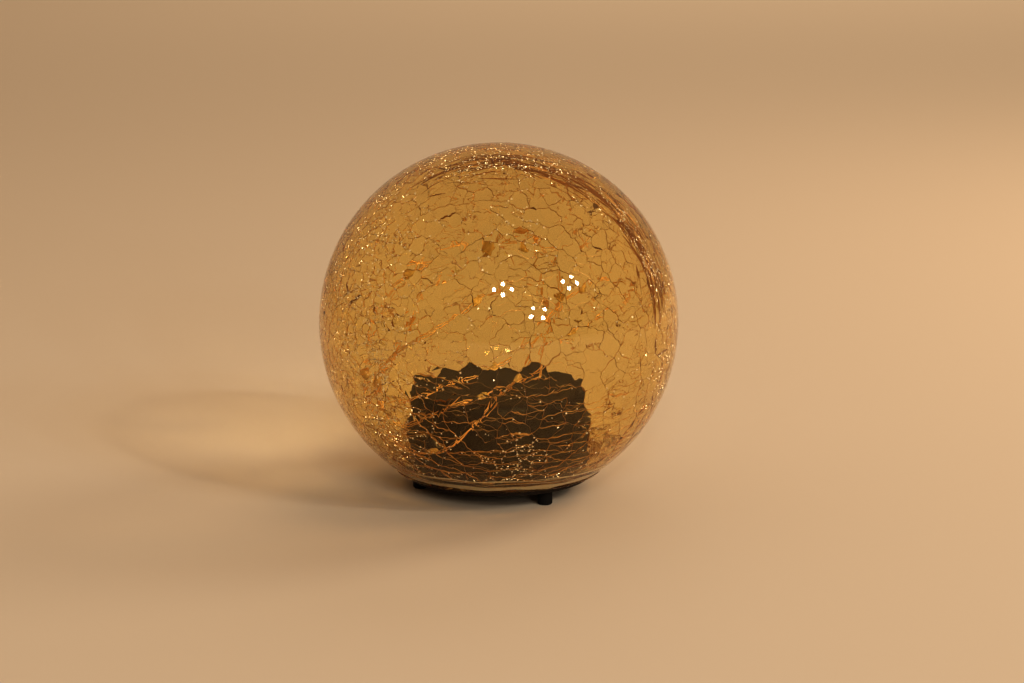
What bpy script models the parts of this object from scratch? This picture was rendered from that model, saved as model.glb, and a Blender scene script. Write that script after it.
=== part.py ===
"""Crackle glass ball light: a hollow amber glass globe on a black battery base.

The globe stands with its cut mouth on the base's flange. The base's round battery housing reaches up
inside the globe. A copper wire with small lamps on it leaves the housing's top, passes round the globe
three times in wide springy loops, and ends in the air inside it.
Metres, +Z up, origin on the table under the globe's centre. Azimuths are measured from +X towards +Y.
"""

import math

import bmesh
import bpy
from mathutils import Matrix, Vector

# --- Driving dimensions -------------------------------------------------------------------------
GLOBE_RADIUS = 0.075
GLOBE_WALL = 0.002
GLOBE_CENTRE_Z = 0.0708
RIM_Z = 0.0090  # the globe's cut lower edge
RIM_ROUNDING = 0.0014
MOUTH_RADIUS = 0.0380  # inside the rim, which is a little thicker than the wall
GLOBE_ROWS = 19  # from pole to rim

BASE_TURN = math.radians(5)  # how far the feet and the door are turned about the globe's axis
FLANGE_RADIUS = 0.0396
FLANGE_THICKNESS = 0.0023
FLANGE_BEVEL = 0.0004
HOUSING_RADIUS = 0.0375
HOUSING_TOP_Z = 0.0437
HOUSING_WALL = 0.0018
HOUSING_EDGE_RADIUS = 0.0025

DOOR_SIZE = (0.055, 0.047, 0.0012)
DOOR_CORNER = 0.004
DOOR_LEDGE = 0.0015  # the width of the step that the door closes against
GRIP_SLOT = (0.0014, 0.016, 0.0005)
GRIP_SLOTS = 4
GRIP_PITCH = 0.003
GRIP_INSET = 0.006  # from the door's end to the first slot

FOOT_COUNT = 3
FOOT_RADIUS = 0.0031
FOOT_RING_RADIUS = 0.0332
FOOT_BEVEL = 0.0005
FOOT_PIN_RADIUS = 0.0015
FOOT_PIN_LENGTH = 0.0014
FOOT_STEPS = 20

WIRE_RADIUS = 0.0006
WIRE_STEP = 0.0115  # the length of one straight stretch of the modelled wire
WIRE_EXIT = (0.017, 0.006)  # where the wire comes up through the housing's top
WIRE_HOLE_RADIUS = 0.0011
WIRE_INSIDE = 0.004  # how far the wire reaches down into the housing from the top face
WIRE_RISE = 0.005  # how far it stands straight up from the top face

# The wire's route in millimetres, pass by pass: each pass starts near the exit and comes back to it.
FIRST_PASS = [
    (19, 12, 57), (21, 23, 67), (18, 34, 77), (17, 42, 87), (11, 47, 95), (-4, 49, 97), (-20, 45, 95),
    (-37, 34, 87), (-49, 20, 75), (-55, 4, 61), (-55, -12, 46), (-47, -28, 33), (-34, -42, 27),
    (-22, -48, 29), (-12, -46, 36), (-4, -40, 43), (1, -30, 47), (6, -18, 48.5),
]
SECOND_PASS = [
    (9, -7, 52), (14, 5, 58), (24, 19, 68), (26, 31, 76), (26, 41, 82), (23, 48, 90), (13, 53, 99),
    (1, 56, 98), (-8, 60, 87), (-18, 62, 79), (-30, 58, 76), (-36, 55, 66), (-41, 43, 55),
    (-46, 29, 48), (-50, 13, 44), (-49, -3, 41), (-43, -15, 41), (-36, -24, 43), (-22, -20, 48),
    (-7, -14, 52.5),
]
THIRD_PASS = [
    (5, -6, 57.5), (14, 4, 65), (25, 13, 74), (36, 21, 81), (47, 25, 84), (55, 21, 83), (54, 14, 77),
    (46, 11, 73), (34, 6, 67), (23, -2, 57.5), (16, -12, 52), (5, -26, 50.5), (-6, -32, 47.5),
    (-20, -37, 43.5), (-36, -32, 35), (-44, -31, 38), (-49, -29, 46), (-49, -32, 56), (-42, -37, 65),
    (-31, -40, 73), (-18, -36, 80), (-7, -28, 87), (2, -20, 89),
]

BEAD_COUNT = 15
BEAD_FIRST_STRETCH = 6
BEAD_EVERY = 5  # stretches of wire from one lamp to the next
BEAD_LENGTH = 0.0048
BEAD_RADIUS = 0.0017
BEAD_STEPS = 8
BEAD_ROWS = 5

GAP = 0.0003  # between pieces that touch
CUT_PAST = 0.001  # how far a cutter reaches past the face it goes through
ROUND_STEPS = 48

FLANGE_TOP_Z = RIM_Z - GAP
FLANGE_UNDER_Z = FLANGE_TOP_Z - FLANGE_THICKNESS
FOOT_TOP_Z = FLANGE_UNDER_Z - GAP


# --- Materials ------------------------------------------------------------------------------------
def material(name, colour, roughness, metallic=0.0, transmission=0.0):
    made = bpy.data.materials.new(name)
    made.use_nodes = True
    shader = made.node_tree.nodes["Principled BSDF"]
    shader.inputs["Base Color"].default_value = (*colour, 1.0)
    shader.inputs["Roughness"].default_value = roughness
    shader.inputs["Metallic"].default_value = metallic
    shader.inputs["Transmission Weight"].default_value = transmission
    return made


# --- Shape helpers --------------------------------------------------------------------------------
def add_object(name, mesh, finish=None, parent=None):
    made = bpy.data.objects.new(name, mesh)
    bpy.context.scene.collection.objects.link(made)
    made.parent = parent
    if finish:
        mesh.materials.append(finish)
    return made


def arc(centre, radius, start_deg, end_deg, steps):
    """Points (r, z) on a circle, from one angle to another, both ends included."""
    turn = (math.radians(end_deg) - math.radians(start_deg)) / steps
    angles = [math.radians(start_deg) + turn * i for i in range(steps + 1)]
    return [(centre[0] + radius * math.cos(a), centre[1] + radius * math.sin(a)) for a in angles]


def turned(name, profile, finish, parent=None, closed=False, steps=ROUND_STEPS):
    """A profile of points (r, z), listed down the outer side, turned about Z by a Screw modifier."""
    mesh = bpy.data.meshes.new(name)
    count = len(profile)
    edges = [(i, i + 1) for i in range(count - 1)] + ([(count - 1, 0)] if closed else [])
    mesh.from_pydata([(r, 0.0, z) for r, z in profile], edges, [])
    made = add_object(name, mesh, finish, parent)
    screw = made.modifiers.new("Turn", "SCREW")
    screw.steps = screw.render_steps = steps
    screw.use_merge_vertices = True
    screw.merge_threshold = 0.00001
    screw.use_smooth_shade = True
    return made


def rounded_block(name, size, corner, centre, finish=None, parent=None):
    """A block whose four upright edges are rounded."""
    shape = bmesh.new()
    bmesh.ops.create_cube(shape, size=1.0)
    bmesh.ops.scale(shape, vec=size, verts=shape.verts)
    upright = [e for e in shape.edges if abs(e.verts[0].co.z - e.verts[1].co.z) > size[2] / 2]
    if corner:
        bmesh.ops.bevel(shape, geom=upright, offset=corner, segments=4, profile=0.5, affect="EDGES")
    bmesh.ops.translate(shape, vec=centre, verts=shape.verts)
    mesh = bpy.data.meshes.new(name)
    shape.to_mesh(mesh)
    shape.free()
    return add_object(name, mesh, finish, parent)


def rod(name, radius, low, high, place, parent, steps=16):
    """An upright round bar from one height to another at place = (x, y)."""
    shape = bmesh.new()
    upright = Matrix.Translation((*place, (low + high) / 2))
    bmesh.ops.create_cone(shape, cap_ends=True, segments=steps, radius1=radius, radius2=radius,
                          depth=high - low, matrix=upright)
    mesh = bpy.data.meshes.new(name)
    shape.to_mesh(mesh)
    shape.free()
    return add_object(name, mesh, None, parent)


def cut(target, cutter):
    """Takes the cutter's shape out of the target and hides the cutter."""
    cutter.hide_render = True
    cutter.display_type = "WIRE"
    boolean = target.modifiers.new(cutter.name, "BOOLEAN")
    boolean.operation = "DIFFERENCE"
    boolean.solver = "EXACT"
    boolean.object = cutter


def around(radius, azimuth):
    return (radius * math.cos(azimuth), radius * math.sin(azimuth))


# --- The globe ------------------------------------------------------------------------------------
def make_globe(glass):
    """A ball of even wall, cut flat across its mouth, with the cut edge rounded on both sides."""
    centre = (0.0, GLOBE_CENTRE_Z)
    inner_radius = GLOBE_RADIUS - GLOBE_WALL
    drop = GLOBE_CENTRE_Z - RIM_Z
    lip_top = drop - RIM_ROUNDING  # how far below the centre the two walls give way to the lip
    outer_end = -math.degrees(math.asin(lip_top / GLOBE_RADIUS))
    inner_end = -math.degrees(math.asin(lip_top / inner_radius))
    outer = arc(centre, GLOBE_RADIUS, 90, outer_end, GLOBE_ROWS)
    inner = arc(centre, inner_radius, inner_end, 90, GLOBE_ROWS)
    outer_lip = (math.sqrt(GLOBE_RADIUS**2 - drop**2) - RIM_ROUNDING, RIM_Z)
    inner_lip = (MOUTH_RADIUS + RIM_ROUNDING / 2, RIM_Z)
    outer_bend = (outer_lip[0] + 0.8 * RIM_ROUNDING, RIM_Z + 0.4 * RIM_ROUNDING)
    inner_bend = (MOUTH_RADIUS, RIM_Z + RIM_ROUNDING / 2)
    profile = outer + [outer_bend, outer_lip, inner_lip, inner_bend] + inner
    profile[0] = (0.0, GLOBE_CENTRE_Z + GLOBE_RADIUS)
    profile[-1] = (0.0, GLOBE_CENTRE_Z + inner_radius)
    return turned("glass_globe", profile, glass)


# --- The base -------------------------------------------------------------------------------------
def make_base(plastic, base_frame):
    """The flange and the battery housing are one moulding, open below for the battery door."""
    edge = HOUSING_EDGE_RADIUS
    bevel = FLANGE_BEVEL
    top = arc((HOUSING_RADIUS - edge, HOUSING_TOP_Z - edge), edge, 90, 0, 4)
    profile = [(0.0, HOUSING_TOP_Z)] + top + [
        (HOUSING_RADIUS, FLANGE_TOP_Z),
        (FLANGE_RADIUS - bevel, FLANGE_TOP_Z),
        (FLANGE_RADIUS, FLANGE_TOP_Z - bevel),
        (FLANGE_RADIUS, FLANGE_UNDER_Z + bevel),
        (FLANGE_RADIUS - bevel, FLANGE_UNDER_Z),
        (0.0, FLANGE_UNDER_Z),
    ]
    base = turned("battery_housing", profile, plastic, base_frame)
    bay = rod("cut_bay", HOUSING_RADIUS - HOUSING_WALL, FLANGE_TOP_Z, HOUSING_TOP_Z - HOUSING_WALL, (0, 0),
              base_frame, ROUND_STEPS)
    cut(base, bay)

    margin = 2 * GAP
    recess = (DOOR_SIZE[0] + margin, DOOR_SIZE[1] + margin, 2 * (DOOR_SIZE[2] + GAP))
    cut(base, rounded_block("cut_recess", recess, DOOR_CORNER, (0, 0, FLANGE_UNDER_Z), parent=base_frame))
    opening = (DOOR_SIZE[0] - 2 * DOOR_LEDGE, DOOR_SIZE[1] - 2 * DOOR_LEDGE, 4 * FLANGE_THICKNESS)
    cut(base, rounded_block("cut_opening", opening, DOOR_CORNER - DOOR_LEDGE, (0, 0, FLANGE_UNDER_Z),
                            parent=base_frame))

    for number in range(FOOT_COUNT):
        socket_top = FOOT_TOP_Z + FOOT_PIN_LENGTH + GAP
        cut(base, rod(f"cut_socket_{number + 1}", FOOT_PIN_RADIUS + GAP, FLANGE_UNDER_Z - CUT_PAST,
                      socket_top, foot_place(number), base_frame))
    exit_place = Matrix.Rotation(-BASE_TURN, 2) @ Vector(WIRE_EXIT)
    cut(base, rod("cut_wire_hole", WIRE_HOLE_RADIUS, HOUSING_TOP_Z - 2 * HOUSING_WALL,
                  HOUSING_TOP_Z + CUT_PAST, exit_place, base_frame))
    return base


def make_door(plastic, base_frame):
    """The battery door lies in the base's recess, with grip slots across its outer face."""
    centre_z = FLANGE_UNDER_Z + DOOR_SIZE[2] / 2
    door = rounded_block("battery_door", DOOR_SIZE, DOOR_CORNER, (0, 0, centre_z), plastic, base_frame)
    slot_size = (GRIP_SLOT[0], GRIP_SLOT[1], 2 * GRIP_SLOT[2])
    for number in range(GRIP_SLOTS):
        place = (DOOR_SIZE[0] / 2 - GRIP_INSET - number * GRIP_PITCH, 0, FLANGE_UNDER_Z)
        cut(door, rounded_block(f"cut_grip_{number + 1}", slot_size, 0, place, parent=base_frame))
    return door


def foot_place(number):
    """(x, y) of a foot in the base's own frame."""
    return around(FOOT_RING_RADIUS, math.pi - number * math.tau / FOOT_COUNT)


def make_feet(rubber, base_frame):
    """Short rubber posts, each with a pin that goes up into the flange."""
    pin_top = FOOT_TOP_Z + FOOT_PIN_LENGTH
    profile = [
        (0.0, pin_top),
        (FOOT_PIN_RADIUS, pin_top),
        (FOOT_PIN_RADIUS, FOOT_TOP_Z),
        (FOOT_RADIUS, FOOT_TOP_Z),
        (FOOT_RADIUS, FOOT_BEVEL),
        (FOOT_RADIUS - FOOT_BEVEL, 0.0),
        (0.0, 0.0),
    ]
    for number in range(FOOT_COUNT):
        foot = turned(f"foot_{number + 1}", profile, rubber, base_frame, steps=FOOT_STEPS)
        foot.location = (*foot_place(number), 0.0)


# --- The string of lamps --------------------------------------------------------------------------
def smooth_route(controls, per_span=24):
    """A Catmull-Rom curve through the control points, as closely spaced points."""
    ends = [2 * controls[0] - controls[1]] + controls + [2 * controls[-1] - controls[-2]]
    points = []
    for before, start, end, after in zip(ends, ends[1:], ends[2:], ends[3:]):
        for step in range(per_span):
            t = step / per_span
            points.append(0.5 * (2 * start + (end - before) * t
                                 + (2 * before - 5 * start + 4 * end - after) * t**2
                                 + (3 * start - before - 3 * end + after) * t**3))
    return points + [controls[-1]]


def even_steps(points, step):
    """Points a chord of that length apart along the route."""
    even = [points[0]]
    for a, b in zip(points, points[1:]):
        while (b - even[-1]).length >= step:
            low, high = 0.0, 1.0
            for _ in range(40):
                middle = (low + high) / 2
                if (a.lerp(b, middle) - even[-1]).length < step:
                    low = middle
                else:
                    high = middle
            even.append(a.lerp(b, high))
    return even


def wire_points():
    """The wire's points: a straight rise out of the housing, then even steps along the smooth route."""
    start = Vector((*WIRE_EXIT, HOUSING_TOP_Z - WIRE_INSIDE))
    risen = Vector((*WIRE_EXIT, HOUSING_TOP_Z + WIRE_RISE))
    free = [Vector(place) * 0.001 for place in FIRST_PASS + SECOND_PASS + THIRD_PASS]
    return [start] + even_steps(smooth_route([risen] + free), WIRE_STEP)


def make_light_string(copper, resin):
    route = wire_points()
    curve = bpy.data.curves.new("light_wire", "CURVE")
    curve.dimensions = "3D"
    curve.bevel_depth = WIRE_RADIUS
    curve.bevel_resolution = 2
    curve.use_fill_caps = True
    spline = curve.splines.new("POLY")
    spline.points.add(len(route) - 1)
    for point, place in zip(spline.points, route):
        point.co = (*place, 1.0)
    add_object("light_wire", curve, copper)

    bore = WIRE_RADIUS + GAP
    shell = [(bore + (BEAD_RADIUS - bore) * math.cos(a), BEAD_LENGTH / 2 * math.sin(a))
             for a in (math.radians(90 - 180 * i / BEAD_ROWS) for i in range(BEAD_ROWS + 1))]
    for number in range(BEAD_COUNT):
        first = BEAD_FIRST_STRETCH + BEAD_EVERY * number
        start, end = route[first], route[first + 1]
        bead = turned(f"lamp_bead_{number + 1:02d}", shell, resin, closed=True, steps=BEAD_STEPS)
        bead.location = (start + end) / 2
        bead.rotation_mode = "QUATERNION"
        bead.rotation_quaternion = (end - start).to_track_quat("Z", "Y")


# --- The whole object -----------------------------------------------------------------------------
def main():
    for old in list(bpy.data.objects):
        bpy.data.objects.remove(old)
    glass = material("amber_glass", (0.96, 0.68, 0.28), 0.03, transmission=1.0)
    plastic = material("black_abs", (0.012, 0.011, 0.010), 0.45)
    rubber = material("black_rubber", (0.010, 0.010, 0.010), 0.8)
    copper = material("copper_wire", (0.85, 0.38, 0.15), 0.25, metallic=1.0)
    resin = material("lamp_resin", (0.95, 0.82, 0.45), 0.15)

    base_frame = bpy.data.objects.new("base_frame", None)
    bpy.context.scene.collection.objects.link(base_frame)
    base_frame.rotation_euler.z = BASE_TURN

    make_globe(glass)
    make_base(plastic, base_frame)
    make_door(plastic, base_frame)
    make_feet(rubber, base_frame)
    make_light_string(copper, resin)


main()
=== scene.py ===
"""Looks of a crackle glass ball light: an amber globe on a black battery base, with a string of lamps."""
import math
import random

import bmesh
import bpy
import numpy as np
from mathutils import Matrix, Vector, geometry, noise


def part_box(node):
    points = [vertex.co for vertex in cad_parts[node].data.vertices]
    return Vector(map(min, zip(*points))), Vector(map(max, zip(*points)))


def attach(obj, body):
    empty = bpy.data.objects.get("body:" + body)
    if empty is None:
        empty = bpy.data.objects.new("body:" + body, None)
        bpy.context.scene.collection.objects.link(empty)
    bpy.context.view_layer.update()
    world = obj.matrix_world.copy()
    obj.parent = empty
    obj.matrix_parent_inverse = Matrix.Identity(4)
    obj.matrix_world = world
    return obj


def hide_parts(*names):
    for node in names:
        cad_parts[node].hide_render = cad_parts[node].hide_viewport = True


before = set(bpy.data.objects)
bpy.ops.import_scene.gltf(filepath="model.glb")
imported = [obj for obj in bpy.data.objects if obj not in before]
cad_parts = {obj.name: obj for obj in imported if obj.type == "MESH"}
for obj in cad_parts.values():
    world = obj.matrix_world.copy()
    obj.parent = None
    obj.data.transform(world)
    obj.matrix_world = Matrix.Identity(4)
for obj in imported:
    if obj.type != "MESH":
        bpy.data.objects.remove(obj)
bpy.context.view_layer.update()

bl_info = {
    "name": "Crackle Glass Ball",
    "version": (1, 0, 0),
    "blender": (4, 5, 0),
    "location": "3D View > Sidebar > Glass Ball",
    "description": "Builds a crackle glass ball light around its packed frame",
    "category": "Object",
}

MM = 0.001
ROUND = math.tau
SEED = 11

# --- Measures taken from the frame ---
GLOBE_LOW, GLOBE_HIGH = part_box("glass_globe")
GLOBE_RADIUS = (GLOBE_HIGH.y - GLOBE_LOW.y) / 2
RIM_Z = GLOBE_LOW.z
GLOBE_CENTRE = Vector((0.0, 0.0, GLOBE_HIGH.z - GLOBE_RADIUS))

# --- The room ---
# Where the onlooker stands, and where the groups of small bulbs hang, as azimuths and elevations in degrees.
ONLOOKER_AZIMUTH = 0
ONLOOKER_ELEVATION = 12
ONLOOKER_DISTANCE = 0.95
BULB_GROUPS = ((3, 32), (25, 16), (52, 30))
BULB_DISTANCE = 3.0
BULBS_IN_GROUP = 4
WARM_WHITE = "FFE8CC"
SUNNY_WHITE = "FFDDB8"
BULB_WHITE = "FFF6E8"


# --- Settings ---
def length_value(name, description, default):
    return bpy.props.FloatProperty(name=name, description=description, default=default, unit="LENGTH")


def power_value(name, description, default):
    return bpy.props.FloatProperty(name=name, description=description, default=default, unit="POWER")


def colour_value(name, description, default):
    return bpy.props.StringProperty(
        name=name, description=description + ", as an sRGB hex value", default=default)


class GlobeSettings(bpy.types.PropertyGroup):
    wall: length_value("Wall", "Thickness of the blown wall", 2.0 * MM)
    large_cell: length_value("Large cell", "Spacing of the cracks where they are coarse", 8.0 * MM)
    small_cell: length_value("Small cell", "Spacing of the cracks where they are fine", 5.0 * MM)
    crack_depth: length_value("Crack depth", "How far a crack reaches into the wall", 1.1 * MM)
    crack_width: length_value("Crack width", "Half the gap of a crack at the inner face", 0.075 * MM)
    clear_band: length_value("Clear band", "Height of the uncracked glass above the rim", 6.5 * MM)
    chip_share: bpy.props.FloatProperty(
        name="Chip share", description="Chips at each point of the finest cracks, on average", default=1.1)
    glass_colour: colour_value("Glass colour", "What one face of the wall lets through", "FFFCE4")
    body_colour: colour_value("Body colour", "Tint of the glass itself", "F2D466")
    crack_colour: colour_value("Crack colour", "Colour of the crack faces", "EDBA72")
    stain_colour: colour_value("Stain colour", "Colour of the stained crack faces", "86520C")
    # near white: on the diffuse chips a painted glint, on the mirror chips the metal's tint
    chip_and_painted_spark_colour: colour_value("Speck colour", "Colour of the small chips", "FFF4DC")
    # the pale band round the rim is a painted highlight where the thick rim shows bright light
    painted_highlight_colour: colour_value("Milky colour", "Colour of the folded lip's air line", "F2DFBE")


class LightStringSettings(bpy.types.PropertyGroup):
    strands: bpy.props.IntProperty(name="Strands", description="Number of copper strands", default=3)
    strand_radius: length_value("Strand radius", "Radius of one copper strand", 0.15 * MM)
    spread: length_value("Spread", "Distance of the strands from the wire's middle line", 0.70 * MM)
    twist: length_value("Twist", "Length over which the strands turn once", 48 * MM)
    copper_colour: colour_value("Copper colour", "The strands' colour", "FFD090")
    resin_colour: colour_value("Resin colour", "The resin drops' colour", "F8D690")
    chip_colour: colour_value("Chip colour", "The lamp chips' colour", "EAC766")


class BaseSettings(bpy.types.PropertyGroup):
    plastic_colour: colour_value("Plastic colour", "The mouldings' colour", "170E0A")
    rubber_colour: colour_value("Rubber colour", "The feet's colour", "141211")
    texture_size: length_value("Texture size", "Size of the moulded texture's grains", 0.4 * MM)


class StageSettings(bpy.types.PropertyGroup):
    floor_size: length_value("Floor size", "Side of the square floor", 12.0)
    floor_colour: colour_value("Floor colour", "The floor's colour", "D5C9B9")
    back_light: bpy.props.FloatProperty(
        name="Back light", description="Strength of the even light from behind", default=0.34)
    front_light: bpy.props.FloatProperty(
        name="Front light", description="Strength of the even light from in front", default=0.085)
    key_power: power_value("Key power", "Power of the main softbox", 15.0)
    lamp_power: power_value("Lamp power", "Power of the small softbox in front", 5.0)
    back_power: power_value("Back power", "Power of the softbox over the floor behind", 35.0)
    side_power: power_value("Side power", "Power of the small softbox on the right", 6.0)
    bulb_power: power_value("Bulb power", "Power of one small bulb", 2.8)
    camera_distance: length_value(
        "Camera distance", "From the globe's centre to the camera", ONLOOKER_DISTANCE)
    camera_elevation: bpy.props.FloatProperty(
        name="Camera elevation", description="Height of the camera above the horizon, seen from the globe",
        default=math.radians(ONLOOKER_ELEVATION), subtype="ANGLE")


# --- Colours and nodes ---
def linear(hex_colour):
    """An sRGB hex value as linear red, green, blue and alpha."""
    parts = [int(hex_colour[i:i + 2], 16) / 255 for i in (0, 2, 4)]
    return [p / 12.92 if p <= 0.04045 else ((p + 0.055) / 1.055) ** 2.4 for p in parts] + [1.0]


def add_node(tree, kind, settings=None, inputs=None, links=None):
    """Adds a node, sets its properties and input values, and links inputs from other nodes' sockets."""
    node = tree.nodes.new(kind)
    for key, value in (settings or {}).items():
        setattr(node, key, value)
    for key, value in (inputs or {}).items():
        node.inputs[key].default_value = value
    for key, socket in (links or {}).items():
        tree.links.new(socket, node.inputs[key])
    return node


def new_material(name, **values):
    """A material whose Principled shader has these values."""
    made = bpy.data.materials.new(name)
    made.use_nodes = True
    shader = made.node_tree.nodes["Principled BSDF"]
    for key, value in values.items():
        shader.inputs[key.replace("_", " ")].default_value = value
    return made


def place_piece(name, mesh, node):
    """Links a finished mesh as the piece that stands for a CAD node."""
    piece = bpy.data.objects.new(name, mesh)
    bpy.context.scene.collection.objects.link(piece)
    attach(piece, "root")
    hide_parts(node)


def with_neighbours(points):
    """Each point between the one before and the one after it. The ends stand in for what is missing."""
    return zip(points[:1] + points, points, points[1:] + points[-1:])


def quads_between(rings):
    """The corners of each face between neighbouring rings of vertices."""
    for lower, upper in zip(rings, rings[1:]):
        for i in range(len(lower)):
            j = (i + 1) % len(lower)
            yield [lower[i], lower[j], upper[j], upper[i]]


def aimed_from(azimuth, elevation, distance):
    """A place that distance from the globe's centre; azimuth 0 is in front and turns towards +X."""
    a, e = math.radians(azimuth), math.radians(elevation)
    way = Vector((math.sin(a) * math.cos(e), -math.cos(a) * math.cos(e), math.sin(e)))
    return GLOBE_CENTRE + way * distance


# --- The globe ---
GLASS_IOR = 1.48
GLASS_DENSITY = 200.0  # how strongly the glass tints light, for each metre through it
SHARP_ANGLE = 32  # degrees between faces from which an edge stays crisp
FOLD_AXIS = Vector((0.0, -0.98, 0.2)).normalized()  # the fold is part of a ring round this axis
FOLD_RISE = 0.49  # how far along the axis the ring lies, as a share of the radius
FOLD_MIDDLE = Vector((0.50, 0.17, 0.85)).normalized()  # from the axis to the middle of the arc
BORDER_CELLS = 50  # cells in the lowest ring, above the clear band
BORDER_HALF_GAP = 2.2 * MM  # from the cracked glass's border to the middles of that ring
FLOCK_PATIENCE, CELL_PATIENCE = 500, 1500  # misses in a row after which there is no room for another
CRACK_STEP = 1.15 * MM  # the length of one straight stretch of a crack
SWELL = 0.06 * MM  # how much the inner face swells from place to place
DOME = 0.015  # the most that a cell's middle stands out, as a share of the cell's reach
LIP_LIFT = 0.004 * MM  # how far a crack's lips lie within the glass
MEETING_LIFT = 0.01 * MM  # the same where cracks meet
EVEN_ROWS = 6  # rings over which the uneven points of the cracked glass's border even out
OUTSIDE_ROWS = 50  # rings from the rim to the crown
CALM_ROWS = 8  # the lowest of those, over which the ripples grow
RIPPLE = 0.035 * MM  # how much the outside ripples
RIPPLE_ROOM = 0.06 * MM  # how far it stays within the CAD's sphere to have room for that
FOLD_STREAKS, LIP_STREAKS, HAIRLINES = 200, 110, 480
STREAK_DEPTH = 0.3 * MM  # how far a streak or fine crack reaches into the glass
THINNEST = 0.02 * MM  # about what is left of one at its tapered ends
LIP_LINE_STEPS = 180  # round the whole lip


def smooth_step(value, low, high):
    share = min(max((value - low) / (high - low), 0.0), 1.0)
    return share * share * (3 - 2 * share)


def blotch(place, scale, offset):
    """A smooth random value, -1 to 1, over a place. The offset picks one of many such patterns."""
    return noise.noise(place * scale + Vector(offset))


def at_turn(turn, reach, z):
    """A place by its turn round the globe's axis, its distance from the axis and its height."""
    return Vector((reach * math.cos(turn), reach * math.sin(turn), z))


def on_sphere(turn, latitude):
    return at_turn(turn, math.cos(latitude), math.sin(latitude))


def fold(direction):
    """How far a place lies in the fold, 0 to 1: an arc of streaky glass over the crown and +X shoulder."""
    along_axis = direction.dot(FOLD_AXIS)
    across = smooth_step(abs(along_axis - FOLD_RISE), 0.10, 0.03)
    aside = (direction - FOLD_AXIS * along_axis).normalized()
    broken = smooth_step(blotch(direction, 4.5, (1, 3, 8)), -0.35, 0.0)
    return across * broken * smooth_step(aside.dot(FOLD_MIDDLE), 0.45, 0.62)


def fineness(direction):
    """How fine the cracks are: 0 in the middle, 1 on the -X side, and between on the crown and in patches."""
    side = smooth_step(-direction.x, 0.28, 0.62)
    far_side = 0.7 * smooth_step(direction.x, 0.78, 0.92)
    crown = 0.75 * smooth_step(direction.z, 0.82, 0.92)
    patch = 0.6 * smooth_step(blotch(direction, 2.6, (4, 1, 7)), 0.2, 0.46)
    return max(side, far_side, crown, patch, 0.8 * fold(direction))


def combing(direction):
    """How far the cracks run side by side: 1 low on the front, where the glass sank last, and in the fold."""
    low_front = smooth_step(-direction.y, 0.30, 0.62) * smooth_step(-direction.z, 0.02, 0.24)
    streak = 0.7 * smooth_step(blotch(direction, 2.2, (9, 5, 2)), 0.0, 0.35)
    return max(low_front, streak, fold(direction))


def run_of_cracks(direction):
    """The way in which combed cracks run: level round the globe, and along the fold in the fold."""
    level = Vector((0, 0, 1)).cross(direction) + Vector((0.001, 0, 0))
    if fold(direction) > 0.3:
        level = FOLD_AXIS.cross(direction)
    return level.normalized()


def cell_middles(wall, band_top, settings, rng):
    """Directions of the cells' middles. The second list only closes the mouth and is dropped again."""
    band_latitude = math.asin((band_top - GLOBE_CENTRE.z) / wall.radius)
    half_gap = BORDER_HALF_GAP / wall.radius
    kept, dropped = [], []
    for number in range(BORDER_CELLS):
        turn = ROUND * (number + rng.uniform(-0.16, 0.16)) / BORDER_CELLS
        kept.append(on_sphere(turn, band_latitude + half_gap * rng.uniform(0.8, 1.2)))
        dropped.append(on_sphere(ROUND * (number + 0.5) / BORDER_CELLS, band_latitude - half_gap))
    lowest = math.sin(band_latitude + 2.4 * half_gap)

    def spacing_at(spot):
        fine = fineness(spot)
        mean = settings.large_cell * (1 - fine) + settings.small_cell * fine
        return mean * (1 - 0.10 * combing(spot)) * rng.uniform(0.85, 1.15)

    # flocks of slivers, one above another, so that their long sides run across
    centres = []
    for spot in with_room(
            [], lowest, FLOCK_PATIENCE, lambda spot: 1.25 * spacing_at(spot) / wall.radius, rng):
        comb = combing(spot)
        if rng.random() > 0.45 + 0.5 * comb:
            continue
        length = spacing_at(spot) * (1.15 + 0.40 * comb)
        narrow = length * (0.38 - 0.19 * comb)
        count = rng.choice((2, 2, 3)) if comb < 0.5 else rng.choice((4, 5, 6))
        upward = spot.cross(run_of_cracks(spot))
        step = Matrix.Rotation(rng.gauss(0, 0.45 - 0.30 * comb), 3, spot) @ upward * (narrow / wall.radius)
        for number in range(count):
            place = (spot + step * (number - (count - 1) / 2)).normalized()
            room = 0.6 * narrow / wall.radius
            if place.z > lowest and all((place - other).length > room for other in centres):
                centres.append(place)
    kept.extend(centres)
    kept.extend(with_room(
        kept, lowest, CELL_PATIENCE,
        lambda spot: (0.78 + 0.3 * combing(spot)) * spacing_at(spot) / wall.radius, rng))
    return kept, dropped


def with_room(taken, lowest, patience, room_at, rng):
    """Random directions above a height, each that far from those taken and from one another."""
    found = []
    places = np.array([tuple(spot) for spot in taken]).reshape(-1, 3)
    misses = 0
    while misses < patience:
        spot = on_sphere(rng.uniform(0, ROUND), math.asin(rng.uniform(lowest, 1.0)))
        room = room_at(spot)
        if (((places - np.array(spot)) ** 2).sum(1) < room * room).any():
            misses += 1
            continue
        misses = 0
        found.append(spot)
        places = np.vstack([places, tuple(spot)])
    return found


def drift(direction):
    """The soft glass flowed a little after it cracked, which bends neighbouring cracks alike."""
    slow = noise.noise_vector(direction * 5.0 + Vector((2.0, 6.0, 4.0))) * 0.030
    quick = noise.noise_vector(direction * 15.0 + Vector((7.0, 1.0, 3.0))) * 0.008
    flow = (slow + quick) * smooth_step(direction.z, -0.80, -0.66)
    return (direction + flow - direction * flow.dot(direction)).normalized()


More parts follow.
